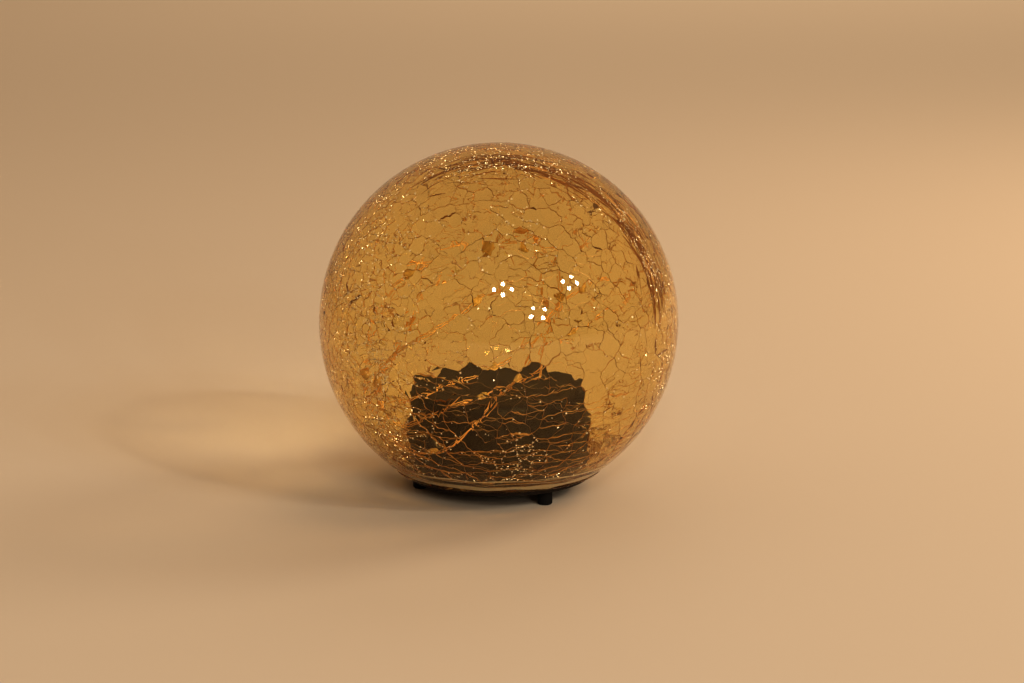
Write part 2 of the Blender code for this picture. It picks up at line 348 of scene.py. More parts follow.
def crack_network(kept, dropped, closeness):
    """The crack pattern: where cracks meet, and each cell's meeting points, counter-clockwise from outside.

    A place belongs to the cell of its nearest middle. Seen from the lowest point of the ball, the middles
    lie flat on a plane, where Delaunay triangles join neighbours: three cells meet on the normal of each.
    Neighbouring points closer than closeness(place) become one, a star of cracks. A dropped middle's cell
    only lists its meeting points, in no order.
    """
    middles = kept + dropped
    flat = [Vector((spot.x, spot.y)) / (1 + spot.z) for spot in middles]
    _, _, triangles, sources, _, _ = geometry.delaunay_2d_cdt(flat, [], [], 0, 1e-9, True)
    web = bmesh.new()
    verts = [web.verts.new(spot) for spot in middles]
    # sorted, because the random draws that follow go by the triangles' order
    web_faces = []
    for triangle in triangles:
        corners = [sources[corner][0] for corner in triangle]
        first = corners.index(min(corners))
        web_faces.append(corners[first:] + corners[:first])
    for corners in sorted(web_faces):
        web.faces.new([verts[corner] for corner in corners])
    web.normal_update()
    web.verts.index_update()
    web.faces.index_update()
    meetings = [face.normal.normalized() for face in web.faces]
    pairs = [tuple(face.index for face in edge.link_faces) for edge in web.edges if not edge.is_boundary]
    cells = [[face.index for face in vert.link_faces] for vert in verts]
    for vert, cell in zip(verts[:len(kept)], cells):
        loop = vert.link_loops[0]
        for step in range(len(cell)):
            cell[step] = loop.face.index
            loop = loop.link_loop_prev.link_loop_radial_next
    web.free()

    # join close neighbours, unless that would pinch a cell or leave it fewer than three corners
    owners = {}
    for number, cell in enumerate(cells):
        for meeting in cell:
            owners.setdefault(meeting, set()).add(number)
    stands_for = list(range(len(meetings)))
    for pair in pairs:
        a, b = (stands_for[meeting] for meeting in pair)
        if a == b or (meetings[a] - meetings[b]).length > closeness(meetings[a]):
            continue
        shared = owners[a] & owners[b]
        if len(shared) != 2 or any(len(cells[number]) < 4 for number in shared):
            continue
        meetings[a] = (meetings[a] + meetings[b]).normalized()
        for number in owners[b]:
            cells[number] = list(dict.fromkeys(a if other == b else other for other in cells[number]))
        owners[a] |= owners.pop(b)
        stands_for = [a if other == b else other for other in stands_for]
    return meetings, cells


class Wall:
    """Gathers the vertices and faces of the globe's wall: a smooth outside and a cracked inside."""

    CLEAR, CRACK, STAIN, FLAW, GLINT, MILKY = range(6)  # slots, in the order of glass_materials

    def __init__(self, settings):
        self.radius = GLOBE_RADIUS - settings.wall
        self.verts = []
        self.faces = []
        self.slots = []
        self.crack_places = []

    def add(self, place):
        self.verts.append(place)
        return len(self.verts) - 1

    def inside(self, direction, raised=0.0):
        """A vertex on the inner face, which swells from place to place; raised goes into the glass."""
        direction = drift(direction)
        swell = SWELL * blotch(direction, 6.0, (3, 8, 2))
        return self.add(GLOBE_CENTRE + direction * (self.radius + swell + raised))

    def face(self, corners, slot):
        """Adds a face, or nothing if fewer than three of its corners differ."""
        distinct = list(dict.fromkeys(corners))
        if len(distinct) > 2:
            self.faces.append(distinct)
            self.slots.append(slot)


class Crack:
    """One crack between two meeting points, or, when shut, just the line where two cells join."""

    def __init__(self, start, end, shut, border, wall, settings, rng):
        length = (end - start).length * wall.radius
        self.across = start.cross(end).normalized()
        self.shut = shut
        steps = 2 if border else max(2, min(10, round(length / CRACK_STEP)))
        bow = 0.0 if border else rng.uniform(-0.07, 0.07) * length
        shiver = 0.0 if border else min(0.05 * length, 0.30 * MM)
        wave, phase = rng.uniform(3.2, 5.5) * MM, rng.uniform(0, ROUND)
        self.points = [start]
        for step in range(1, steps):
            share = step / steps
            aside = bow * math.sin(math.pi * share) + shiver * math.sin(phase + ROUND * share * length / wave)
            aside += 0.3 * shiver * rng.uniform(-1, 1)
            self.points.append((start.lerp(end, share) + self.across * (aside / wall.radius)).normalized())
        self.points.append(end)
        # strong cracks are deep, leaning and wide, and some are stained
        folded = fold(start)
        strong = rng.random() < 0.12 + 0.6 * folded

        def between(if_strong, if_weak):
            return rng.uniform(*(if_strong if strong else if_weak))

        self.depth = settings.crack_depth * between((0.85, 1.1), (0.25, 0.75))
        self.lean = rng.choice((-1, 1)) * between((0.2, 0.5), (0.0, 0.16)) * MM * (1 + 1.2 * folded)
        self.gap = settings.crack_width * between((0.9, 1.6), (0.4, 1.1))
        self.slot = wall.STAIN if strong and rng.random() < 0.35 else wall.CRACK
        self.bottoms = []

    def lay_bottoms(self, first, last, wall):
        """Adds the vertices along the crack's bottom, between the bottoms of its two meeting points."""
        aside = self.across * (self.lean / wall.radius)
        self.bottoms = [first]
        for point in self.points[1:-1]:
            if self.shut:
                self.bottoms.append(wall.inside(point))
            else:
                self.bottoms.append(wall.inside((point + aside).normalized(), self.depth))
                wall.crack_places.append((wall.verts[-1] - GLOBE_CENTRE).normalized())
        self.bottoms.append(last)

    def lips(self, forward, height, wall, rng):
        """Vertices along one side's lip, in that side's own order, without the two ends."""
        if self.shut:
            inner = self.bottoms[1:-1]
        else:
            side = self.across if forward else -self.across
            inner = []
            for point in self.points[1:-1]:
                place = (point + side * (self.gap * rng.uniform(0.7, 1.3) / wall.radius)).normalized()
                inner.append(wall.inside(place, height(place)))
        return inner if forward else inner[::-1]


def joined(a, b):
    """The name of the crack between two meeting points, the same from either end."""
    return (min(a, b), max(a, b))


def draw_cracks(meetings, inner_cells, edge, wall, settings, rng):
    """All cracks by name, and what lies beside each meeting point: {next point: (cell, point before)}."""
    cracks, beside = {}, {}
    for number, cell in enumerate(inner_cells):
        for before, here, after in zip(cell[-1:] + cell[:-1], cell, cell[1:] + cell[:1]):
            beside.setdefault(here, {})[after] = (number, before)
            key = joined(here, after)
            if key not in cracks:
                border = here in edge and after in edge
                shut = border or rng.random() < 0.2 - 0.14 * combing(meetings[here])
                cracks[key] = Crack(meetings[key[0]], meetings[key[1]], shut, border, wall, settings, rng)
    return cracks, beside


def lay_meetings(meetings, cracks, beside, edge, wall, settings):
    """Adds a bottom to each meeting point, and a lip in each sector between its open cracks."""
    bottoms, lips = {}, {}
    for here, neighbours in beside.items():
        spot = meetings[here]
        open_ways = [] if here in edge else [n for n in neighbours if not cracks[joined(here, n)].shut]
        if len(open_ways) < 2:
            bottoms[here] = wall.inside(spot)
            for number, _ in neighbours.values():
                lips[here, number] = bottoms[here]
            continue
        depth = sum(cracks[joined(here, n)].depth for n in open_ways) / len(open_ways)
        bottoms[here] = wall.inside(spot, depth)
        east = spot.orthogonal().normalized()
        north = spot.cross(east)
        # a sector holds the cells from one open crack round to the next
        for first in open_ways:
            way, sector = first, []
            while True:
                number, way = neighbours[way]
                sector.append(number)
                if way in open_ways:
                    break
            begin, finish = (meetings[n] - spot for n in (first, way))
            angle = math.atan2(begin.dot(north), begin.dot(east))
            span = (math.atan2(finish.dot(north), finish.dot(east)) - angle) % ROUND or ROUND
            middle = angle + span / 2
            offset = 0.9 * settings.crack_width / max(math.sin(min(span, math.pi) / 2), 0.45) / wall.radius
            aside = (east * math.cos(middle) + north * math.sin(middle)) * offset
            lip = wall.inside((spot + aside).normalized(), MEETING_LIFT)
            for number in sector:
                lips[here, number] = lip
    return bottoms, lips


def lay_cracked_inside(wall, settings, rng):
    """Adds the cracked inner face and returns its lower border, a ring counter-clockwise from above."""
    kept, dropped = cell_middles(wall, RIM_Z + settings.clear_band, settings, rng)

    def closeness(place):
        return (0.7 + 1.9 * combing(place)) * MM / wall.radius

    meetings, cells = crack_network(kept, dropped, closeness)
    inner_cells = cells[:len(kept)]
    edge = {corner for cell in cells[len(kept):] for corner in cell}
    cracks, beside = draw_cracks(meetings, inner_cells, edge, wall, settings, rng)
    bottoms, lips = lay_meetings(meetings, cracks, beside, edge, wall, settings)
    for (a, b), crack in cracks.items():
        crack.lay_bottoms(bottoms[a], bottoms[b], wall)

    sides = {side for cell in inner_cells for side in zip(cell, cell[1:] + cell[:1])}
    following = {}
    for number, cell in enumerate(inner_cells):
        middle = kept[number]
        tilt = Vector([rng.gauss(0, 0.004) for _ in range(3)])
        reach = min((meetings[corner] - middle).length for corner in cell) * wall.radius

        def height(place):
            return tilt.dot(place - middle) * wall.radius + LIP_LIFT

        top = wall.inside(middle, -rng.uniform(0.0, DOME) * reach)
        for here, after in zip(cell, cell[1:] + cell[:1]):
            forward = here < after
            crack = cracks[joined(here, after)]
            rim = [lips[here, number]] + crack.lips(forward, height, wall, rng) + [lips[after, number]]
            deep = crack.bottoms if forward else crack.bottoms[::-1]
            for i in range(len(rim) - 1):
                wall.face([rim[i + 1], rim[i], top], wall.CLEAR)
                if not crack.shut:
                    wall.face([deep[i + 1], deep[i], rim[i], rim[i + 1]], crack.slot)
            if (after, here) not in sides:
                following[here] = (after, deep[:-1])
    return border_ring(following)


def border_ring(following):
    """The border's vertices in one ring: from each border point, its own stretch to the next one."""
    ring = []
    start = here = next(iter(following))
    while True:
        here, stretch = following[here]
        ring.extend(stretch)
        if here == start:
            return ring


def lay_outside(wall, ring):
    """Adds the clear band, the rim and the outside as rings that start from the cracked inside's border."""
    turns = []
    for v in ring:
        turn = math.atan2(wall.verts[v].y, wall.verts[v].x)
        while turns and turn < turns[-1] - math.pi:
            turn += ROUND
        turns.append(turn)
    count = len(ring)
    rings = [ring]
    profile = rim_profile()
    for number, (radius, height) in enumerate(profile):
        settled = min(1.0, (number + 1) / EVEN_ROWS)
        rings.append([])
        for i in range(count):
            turn = turns[i] * (1 - settled) + (turns[0] + ROUND * i / count) * settled
            out, up = rim_wave(turn, height) if number < len(profile) - 1 else (0.0, 0.0)
            rings[-1].append(wall.add(at_turn(turn, radius + out, RIM_Z + height + up)))
    lowest = math.asin((RIM_Z + profile[-1][1] - GLOBE_CENTRE.z) / GLOBE_RADIUS)
    for number in range(1, OUTSIDE_ROWS):
        latitude = lowest + (math.pi / 2 - lowest) * number / OUTSIDE_ROWS
        fade = smooth_step(number, 0, CALM_ROWS)
        rings.append([])
        for i in range(count):
            spot = on_sphere(turns[0] + ROUND * i / count, latitude)
            ripple = RIPPLE * blotch(spot, 8.5, (1, 2, 3)) * fade - RIPPLE_ROOM
            rings[-1].append(wall.add(GLOBE_CENTRE + spot * (GLOBE_RADIUS + ripple)))
    rings.append([wall.add(GLOBE_CENTRE + Vector((0, 0, GLOBE_RADIUS)))] * count)
    for corners in quads_between(rings):
        wall.face(corners, wall.CLEAR)


def rim_profile():
    """Points (radius, height above the rim) down the thick inner lip, round the rim and up to the outside."""
    edge = math.sqrt(GLOBE_RADIUS ** 2 - (RIM_Z + 1.2 * MM - GLOBE_CENTRE.z) ** 2)
    inside = [
        (46.6, 5.8), (45.7, 5.0), (44.7, 4.2), (42.6, 3.6), (40.6, 3.0), (39.2, 2.3), (38.4, 1.4),
        (38.6, 0.25), (39.3, 0.0), (40.3, 0.0),
    ]
    return [(radius * MM, height * MM) for radius, height in inside] + [
        (edge - 1.3 * MM, 0.0),
        (edge - 0.5 * MM, 0.22 * MM),
        (edge - 0.1 * MM, 0.65 * MM),
        (edge, 1.2 * MM),
    ]


def rim_wave(turn, height):
    """The tool that opened the mouth left the lip wavy: how far out and up it has moved there."""
    spot = at_turn(turn, 1.0, height * 60) * 2.6
    share = smooth_step(height, 0.1 * MM, 1.5 * MM)
    up = 1.7 * MM * blotch(spot, 1.3, (5, 5, 5)) * share
    return 0.5 * up + 0.2 * MM * blotch(spot, 2, (0, 0, 0)) * share, up


def lay_streak(wall, slot, turns, height, breadth, inset):
    """Adds a flat closed streak round the rim. Height and breadth are functions of the turn, in metres."""
    closed = turns[-1] - turns[0] > 0.999 * ROUND
    rows = []
    for turn in turns[:-1] if closed else turns:
        low, tall = RIM_Z + height(turn), max(breadth(turn), THINNEST)
        rows.append([])
        for up, deeper in ((0.0, 0.0), (1.0, 0.0), (0.7, STREAK_DEPTH)):
            z = low + up * tall
            reach = math.sqrt(GLOBE_RADIUS ** 2 - (z - GLOBE_CENTRE.z) ** 2) - inset - deeper
            rows[-1].append(wall.add(at_turn(turn, reach, z)))
    for corners in quads_between(rows + rows[:1] if closed else rows):
        wall.face(corners[:1] + corners[:0:-1], slot)
    if not closed:
        wall.face(rows[0], slot)
        wall.face(rows[-1][::-1], slot)


def lay_folded_lip(wall, rng):
    """Adds a pale wavy band all round the folded lip, a painted highlight where the thick rim shows bright
    light, and gold, brown and pale drawn streaks.
    """

    def wave(turn, size, offset):
        return size * blotch(at_turn(turn, 1.0, 0.0), 3.4, (offset, 5, 5))

    whole = [ROUND * i / LIP_LINE_STEPS for i in range(LIP_LINE_STEPS + 1)]
    # a wavy pale band all round and a thinner one above it: painted highlight where the thick rim shows
    # bright light
    lay_streak(
        wall, wall.MILKY, whole, lambda turn: (1.7 + wave(turn, 1.5, 2)) * MM,
        lambda turn: (1.9 + wave(turn, 2.0, 8)) * MM, 0.45 * MM)
    lay_streak(
        wall, wall.MILKY, whole, lambda turn: (6.6 + wave(turn, 1.4, 14)) * MM,
        lambda turn: (0.5 + wave(turn, 1.2, 20)) * MM, 0.55 * MM)
    for _ in range(LIP_STREAKS):
        start, span = rng.uniform(0, ROUND), rng.uniform(0.25, 1.1)
        level, tall = rng.uniform(0.9, 8.0), rng.uniform(0.25, 0.9)
        offset = rng.uniform(30, 90)
        # one streak in five is pale: painted highlight
        slot = rng.choice((wall.CRACK, wall.CRACK, wall.CRACK, wall.STAIN, wall.MILKY))
        turns = [start + span * i / 8 for i in range(9)]
        lay_streak(
            wall, slot, turns, lambda turn: (level + wave(turn, 0.9, offset)) * MM,
            lambda turn: tall * math.sin(math.pi * (turn - start) / span) * MM, rng.uniform(0.7, 1.3) * MM)


def lay_ribbon(wall, slot, path, breadth, depth, lean=0.0):
    """Adds a closed ribbon in the wall along directions. It tapers to both ends and leans by that much."""
    rows = []
    for number, (before, spot, after) in enumerate(with_neighbours(path)):
        across = spot.cross(after - before).normalized()
        half = max(0.5 * breadth * math.sin(math.pi * number / (len(path) - 1)), 1.5 * THINNEST)
        outer = GLOBE_CENTRE + spot * (GLOBE_RADIUS - depth)
        deep = outer - spot * STREAK_DEPTH + across * lean
        rows.append([wall.add(place) for place in (outer - across * half, outer + across * half, deep)])
    for corners in quads_between(rows):
        wall.face(corners, slot)
    wall.face(rows[0][::-1], slot)
    wall.face(rows[-1], slot)


def lay_fold_streaks(wall, rng):
    """Adds brown and gold drawn streaks that run along the fold."""
    side = FOLD_AXIS.cross(FOLD_MIDDLE).normalized()
    forward = side.cross(FOLD_AXIS)
    for _ in range(FOLD_STREAKS):
        along = FOLD_RISE + rng.gauss(0, 0.055)
        middle, span = math.radians(rng.uniform(-56, 56)), math.radians(rng.uniform(4, 20))
        bend, phase, slope = rng.uniform(0.002, 0.007), rng.uniform(0, ROUND), rng.gauss(0, 0.12)
        path = []
        for i in range(5):
            turn = middle + span * (i / 4 - 0.5)
            rise = along + bend * math.sin(16 * turn + phase) + slope * (turn - middle)
            flat = math.sqrt(1 - rise * rise)
            path.append(FOLD_AXIS * rise + (forward * math.cos(turn) + side * math.sin(turn)) * flat)
        slot = wall.STAIN if rng.random() < 0.8 else wall.CRACK
        lay_ribbon(wall, slot, path, (0.25 + 1.9 * rng.random() ** 2) * MM, rng.uniform(0.9, 1.4) * MM)


def lay_hairlines(wall, lowest, rng):
    """Adds fine cracks that cross the cells, most of them where the pattern is combed."""
    left = HAIRLINES
    while left:
        spot = on_sphere(rng.uniform(0, ROUND), math.asin(rng.uniform(lowest, 1.0)))
        comb = combing(spot)
        if rng.random() > 0.3 + 0.7 * comb:
            continue
        left -= 1
        way = Matrix.Rotation(rng.gauss(0, 0.7 - 0.45 * comb), 3, spot) @ run_of_cracks(spot)
        length = rng.uniform(5, 13) * MM / GLOBE_RADIUS
        size, wave, phase = rng.uniform(0.004, 0.010), rng.uniform(1.0, 2.2), rng.uniform(0, ROUND)
        side = spot.cross(way)
        path = []
        for i in range(6):
            share = i / 5 - 0.5
            aside = size * math.sin(ROUND * wave * share + phase)
            path.append((spot + way * (length * share) + side * aside).normalized())
        lay_ribbon(
            wall, wall.CRACK, path, rng.uniform(0.15, 0.30) * MM, rng.uniform(0.4, 1.0) * MM,
            rng.uniform(-0.2, 0.2) * MM)


def glinting_way(place, rng):
    """The way that a chip there faces if it is one of those that mirror a bulb to the onlooker, or None."""
    out = (place - GLOBE_CENTRE).normalized()
    seen = (aimed_from(ONLOOKER_AZIMUTH, ONLOOKER_ELEVATION, ONLOOKER_DISTANCE) - place).normalized()
    lit = (aimed_from(*rng.choice(BULB_GROUPS), BULB_DISTANCE) - place).normalized()
    chance = 0.05 + 0.5 * smooth_step(seen.dot(out), 0.66, 0.34)
    if seen.dot(out) < 0.05 or lit.dot(out) < 0.05 or rng.random() > chance:
        return None
    # the outer face bends what is seen; lamp rays go straight through it, see let_lamps_through
    sideways = (seen - out * seen.dot(out)) / GLASS_IOR
    bent = sideways + out * math.sqrt(1 - sideways.length_squared)
    return (bent + lit).normalized()


def lay_chips(wall, settings, rng):
    """Adds small four-sided chips in the glass beside the cracks, most where those are fine or low."""
    corners = ((1, 1, 1), (1, -1, -1), (-1, 1, -1), (-1, -1, 1))
    sides = ((0, 1, 2), (0, 3, 1), (0, 2, 3), (1, 3, 2))
    flat_side = Vector((1, 1, -1)).normalized()
    for spot in wall.crack_places:
        low = smooth_step(-spot.z, 0.66, 0.74)
        share = settings.chip_share * (0.10 + 0.90 * max(fineness(spot), 0.7 * low))
        while rng.random() < share:
            share -= 1.0
            size = (0.3 + 0.4 * rng.random() ** 2) * MM
            aside = Vector([rng.gauss(0, 0.008) for _ in range(3)])
            depth = rng.uniform(0.12 * MM, 0.35 * MM) + size
            middle = GLOBE_CENTRE + (spot + aside).normalized() * (GLOBE_RADIUS - depth)
            facing = Vector([rng.gauss(0, 1) for _ in range(3)]).normalized()
            glint = glinting_way(middle, rng)
            # the chips that mirror no bulb are pale diffuse specks: painted sparkle
            slot = wall.GLINT if glint else wall.FLAW
            if glint:
                facing = (glint + facing * abs(rng.gauss(0, 0.07))).normalized()
                size *= 0.7
            spin = Matrix.Rotation(rng.uniform(0, ROUND), 3, facing)
            turned = spin @ flat_side.rotation_difference(facing).to_matrix()
            placed = [wall.add(middle + turned @ Vector(corner).normalized() * size) for corner in corners]
            for side in sides:
                wall.face([placed[corner] for corner in side], slot)


def make_globe(settings):
    rng = random.Random(SEED)
    noise.seed_set(SEED)  # noise_vector draws from this seed
    wall = Wall(settings)
    ring = lay_cracked_inside(wall, settings, rng)
    lay_outside(wall, ring)
    lay_chips(wall, settings, rng)
    lay_folded_lip(wall, rng)
    lay_fold_streaks(wall, rng)
    lay_hairlines(wall, (RIM_Z + settings.clear_band + 2 * MM - GLOBE_CENTRE.z) / GLOBE_RADIUS, rng)
    mesh = bpy.data.meshes.new("crackle_globe")
    mesh.from_pydata([tuple(place) for place in wall.verts], [], wall.faces)
    for made in glass_materials(settings):
        mesh.materials.append(made)
    mesh.polygons.foreach_set("material_index", wall.slots)
    mesh.shade_smooth()
    mesh.set_sharp_from_angle(angle=math.radians(SHARP_ANGLE))
    place_piece("crackle_globe", mesh, "glass_globe")


def let_lamps_through(tree):
    """Lets lamp rays go straight through, so that the glass lights what it holds and its shadow is pale."""
    path = add_node(tree, "ShaderNodeLightPath")
    straight = add_node(tree, "ShaderNodeBsdfTransparent", inputs={"Color": (0.98, 0.98, 0.98, 1.0)})
    either = add_node(tree, "ShaderNodeMixShader", links={
        0: path.outputs["Is Shadow Ray"],
        1: tree.nodes["Principled BSDF"].outputs["BSDF"],
        2: straight.outputs["BSDF"],
    })
    tree.links.new(either.outputs["Shader"], tree.nodes["Material Output"].inputs["Surface"])


def glass_materials(settings):
    """The wall's materials, in the order of its slots."""
    # Soda-lime glass, blown: fire-smooth and clear, and more amber the longer one looks through it.
    clear = new_material(
        "blown_amber_glass", Base_Color=linear(settings.glass_colour), Roughness=0.0, IOR=GLASS_IOR,
        Transmission_Weight=1.0)
    tree = clear.node_tree
    through = add_node(tree, "ShaderNodeVolumeAbsorption", inputs={
        "Color": linear(settings.body_colour), "Density": GLASS_DENSITY})
    tree.links.new(through.outputs["Volume"], tree.nodes["Material Output"].inputs["Volume"])
    let_lamps_through(tree)
    # Faces of quenched cracks: rough and thin, they show as gold lines that half let through what is behind.
    crack = new_material(
        "glass_crack_faces", Base_Color=linear(settings.crack_colour), Roughness=0.34, Metallic=0.2,
        Alpha=0.5)
    # Stained crack faces: duller brown lines and bands.
    stain = new_material(
        "glass_stained_crack_faces", Base_Color=linear(settings.stain_colour), Roughness=0.45,
        IOR=GLASS_IOR, Alpha=0.72)
    # Small chips in the glass: real flaws, coloured near white so that they show as sparkle, a painted glint.
    painted_spark_chips = new_material(
        "glass_chips_painted_spark", Base_Color=linear(settings.chip_and_painted_spark_colour), Roughness=0.3, Metallic=0.15)
    # Chips with one clean broken face, which throws back all light from inside the glass: sparks.
    glint = new_material(
        "glass_mirror_chips", Base_Color=linear(settings.chip_and_painted_spark_colour), Roughness=0.26, Metallic=1.0)
    # A pale, even, matt band: painted highlight where the thick rim shows bright light, in the wavy line and
    # some streaks round the lip.
    painted_rim_band = new_material(
        "rim_band_painted_highlight", Base_Color=linear(settings.painted_highlight_colour), Roughness=0.5, IOR=GLASS_IOR)
    return clear, crack, stain, painted_spark_chips, glint, painted_rim_band


class OBJECT_OT_crackle_globe(bpy.types.Operator):
    """Builds the cracked glass globe"""
    bl_idname = "object.crackle_globe"
    bl_label = "Crackle globe"

    def execute(self, context):
        make_globe(context.scene.crackle_globe)
        return {"FINISHED"}


# --- The light string ---
# The wire's route in millimetres, pass by pass: each pass starts near the exit and comes back to it.
FIRST_PASS = [
    (19, 12, 57), (21, 23, 67), (18, 34, 77), (17, 42, 87), (11, 47, 95), (-4, 49, 97), (-20, 45, 95),
    (-37, 34, 87), (-49, 20, 75), (-55, 4, 61), (-55, -12, 46), (-47, -28, 33), (-34, -42, 27),
    (-22, -48, 29), (-12, -46, 36), (-4, -40, 43), (1, -30, 47), (6, -18, 48.5),
]
SECOND_PASS = [
    (9, -7, 52), (14, 5, 58), (24, 19, 68), (26, 31, 76), (26, 41, 82), (23, 48, 90), (13, 53, 99),
    (1, 56, 98), (-8, 60, 87), (-18, 62, 79), (-30, 58, 76), (-36, 55, 66), (-41, 43, 55), (-46, 29, 48),
    (-50, 13, 44), (-49, -3, 41), (-43, -15, 41), (-36, -24, 43), (-22, -20, 48), (-7, -14, 52.5),
]
THIRD_PASS = [
    (5, -6, 57.5), (14, 4, 65), (25, 13, 74), (36, 21, 81), (47, 25, 84), (55, 21, 83), (54, 14, 77),
    (46, 11, 73), (34, 6, 67), (23, -2, 57.5), (16, -12, 52), (5, -26, 50.5), (-6, -32, 47.5),
    (-20, -37, 43.5), (-36, -32, 35), (-44, -31, 38), (-49, -29, 46), (-49, -32, 56), (-42, -37, 65),
    (-31, -40, 73), (-18, -36, 80), (-7, -28, 87), (2, -20, 89),
]
WIRE_EXIT = (17 * MM, 6 * MM)
WIRE_INSIDE = 4 * MM  # how far the wire reaches down into the housing
WIRE_RISE = 5 * MM  # how far it stands straight up from the housing's top
ROUTE_STEPS = 8  # points from one place of the route to the next
STRAND_SIDES = 6
BALL_ROWS, BALL_COLUMNS = 16, 24
LAMP_SEED = 100  # the first lamp's, and one more for each lamp after it
DROP_SIZE = (1.55, 1.45, 2.3)  # half the width, thickness and length of a resin drop, in millimetres
CHIP_SIZE = (0.8, 0.4, 1.6)  # the lamp chip in it, in millimetres
CHIP_ASIDE = 0.25 * MM


def smooth_route(controls, per_span):
    """A Catmull-Rom curve through the control points."""
    ends = [2 * controls[0] - controls[1]] + controls + [2 * controls[-1] - controls[-2]]
    points = []
    for before, start, end, after in zip(ends, ends[1:], ends[2:], ends[3:]):
        for step in range(per_span):
            t = step / per_span
            points.append(0.5 * (2 * start + (end - before) * t
                                 + (2 * before - 5 * start + 4 * end - after) * t**2
                                 + (3 * start - before - 3 * end + after) * t**3))
    return points + [controls[-1]]


def wire_route():
    housing_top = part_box("battery_housing")[1].z
    start = Vector((*WIRE_EXIT, housing_top - WIRE_INSIDE))
    risen = Vector((*WIRE_EXIT, housing_top + WIRE_RISE))
    free = [Vector(place) * MM for place in FIRST_PASS + SECOND_PASS + THIRD_PASS]
    return [start, start.lerp(risen, 0.5)] + smooth_route([risen] + free, ROUTE_STEPS)


def follow(points):
    """For each point, the point, the line's direction there, and a way across that follows the bends."""
    tangent = (points[1] - points[0]).normalized()
    side = tangent.orthogonal().normalized()
    for before, point, after in with_neighbours(points):
        turned = (after - before).normalized()
        side = (tangent.rotation_difference(turned) @ side).normalized()
        tangent = turned
        yield point, tangent, side


def add_tube(shape, points, radius):
    """Adds a closed tube along the points to a bmesh."""
    rings = []
    for point, tangent, side in follow(points):
        other = tangent.cross(side)
        rings.append([shape.verts.new(point + (side * math.cos(a) + other * math.sin(a)) * radius)
                      for a in (ROUND * k / STRAND_SIDES for k in range(STRAND_SIDES))])
    shape.faces.new(rings[0][::-1])
    shape.faces.new(rings[-1])
    for corners in quads_between(rings):
        shape.faces.new(corners)


def add_ball(shape):
    """Adds a ball of radius 1 to a bmesh, with its faces in the same order each time."""
    low, high = (shape.verts.new((0, 0, z)) for z in (-1, 1))
    rings = [[shape.verts.new(on_sphere(ROUND * i / BALL_COLUMNS, math.pi * (row / BALL_ROWS - 0.5)))
              for i in range(BALL_COLUMNS)] for row in range(1, BALL_ROWS)]
    for corners in quads_between([[low] * BALL_COLUMNS] + rings + [[high] * BALL_COLUMNS]):
        shape.faces.new(list(dict.fromkeys(corners)))


def smooth(shape):
    for face in shape.faces:
        face.smooth = True


def finished_mesh(name, shape, *materials):
    """A mesh with these materials from a bmesh, which is freed."""
    mesh = bpy.data.meshes.new(name)
    shape.to_mesh(mesh)
    shape.free()
    for made in materials:
        mesh.materials.append(made)
    return mesh


def make_light_wire(settings):
    """Fine copper strands that twist loosely round the wire's route and wander a little."""
    route = wire_route()
    shape = bmesh.new()
    for strand in range(settings.strands):
        points = []
        travelled, last = 0.0, route[0]
        for place, tangent, side in follow(route):
            travelled += (place - last).length
            last = place
            wander = noise.noise(Vector((travelled * 25, 5.0 * strand, 0.5)))
            angle = ROUND * (strand / settings.strands + travelled / settings.twist) + 2.2 * wander
            spread = settings.spread * (0.75 + 0.6 * noise.noise(Vector((travelled * 40, 0.5, 3.0 * strand))))
            points.append(place + Matrix.Rotation(angle, 3, tangent) @ side * spread)
        add_tube(shape, points, settings.strand_radius)
    smooth(shape)
    # Drawn copper under clear lacquer: a warm metal that shines softly.
    copper = new_material(
        "lacquered_copper_wire", Base_Color=linear(settings.copper_colour), Metallic=1.0, Roughness=0.38)
    mesh = finished_mesh("copper_strands", shape, copper)
    place_piece("copper_strands", mesh, "light_wire")


def nodes_named(start):
    return sorted(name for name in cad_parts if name.startswith(start))


def make_beads(settings):
    """Each lamp: a chip between the strands, sealed in a resin drop that has run a little to one side."""
    route = wire_route()
    # Cast resin: a glossy yellowish drop, half clouded by what it holds.
    resin = new_material(
        "lamp_resin_drop", Base_Color=linear(settings.resin_colour), Roughness=0.06, IOR=1.5,
        Transmission_Weight=0.6)
    # The phosphor over a lamp that is off: matt yellow.
    chip = new_material("led_phosphor", Base_Color=linear(settings.chip_colour), Roughness=0.6)
    for number, node in enumerate(nodes_named("lamp_bead_")):
        rng = random.Random(LAMP_SEED + number)
        low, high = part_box(node)
        centre = (low + high) / 2
        nearest = min(range(1, len(route) - 1), key=lambda i: (route[i] - centre).length)
        way = (route[nearest + 1] - route[nearest - 1]).normalized()
        shape = bmesh.new()
        add_ball(shape)
        sag = rng.uniform(-0.25, 0.25)
        for vert in shape.verts:
            x, y, z = vert.co
            taper = 1 + 0.18 * sag * z
            lump = 1 + 0.05 * blotch(vert.co, 1.7, (number, 0, 0))
            width, thickness = x * DROP_SIZE[0] * taper * lump, y * DROP_SIZE[1] * taper * lump
            vert.co = Vector((width, thickness, z * DROP_SIZE[2])) * MM
        smooth(shape)
        size = Matrix.Diagonal([side * MM for side in CHIP_SIZE] + [1.0])
        added = bmesh.ops.create_cube(shape, size=1.0, matrix=Matrix.Translation((CHIP_ASIDE, 0, 0)) @ size)
        for face in {face for vert in added["verts"] for face in vert.link_faces}:
            face.material_index = 1
        spin = Matrix.Rotation(rng.uniform(0, ROUND), 4, "Z")
        upright = way.to_track_quat("Z", "Y").to_matrix().to_4x4()
        shape.transform(Matrix.Translation(centre) @ upright @ spin)
        name = f"lamp_{number + 1:02d}"
        place_piece(name, finished_mesh(name, shape, resin, chip), node)


class OBJECT_OT_ball_light_wire(bpy.types.Operator):
    """Builds the copper strands of the light string"""
    bl_idname = "object.ball_light_wire"
    bl_label = "Light wire"

    def execute(self, context):
        make_light_wire(context.scene.ball_light_string)
        return {"FINISHED"}


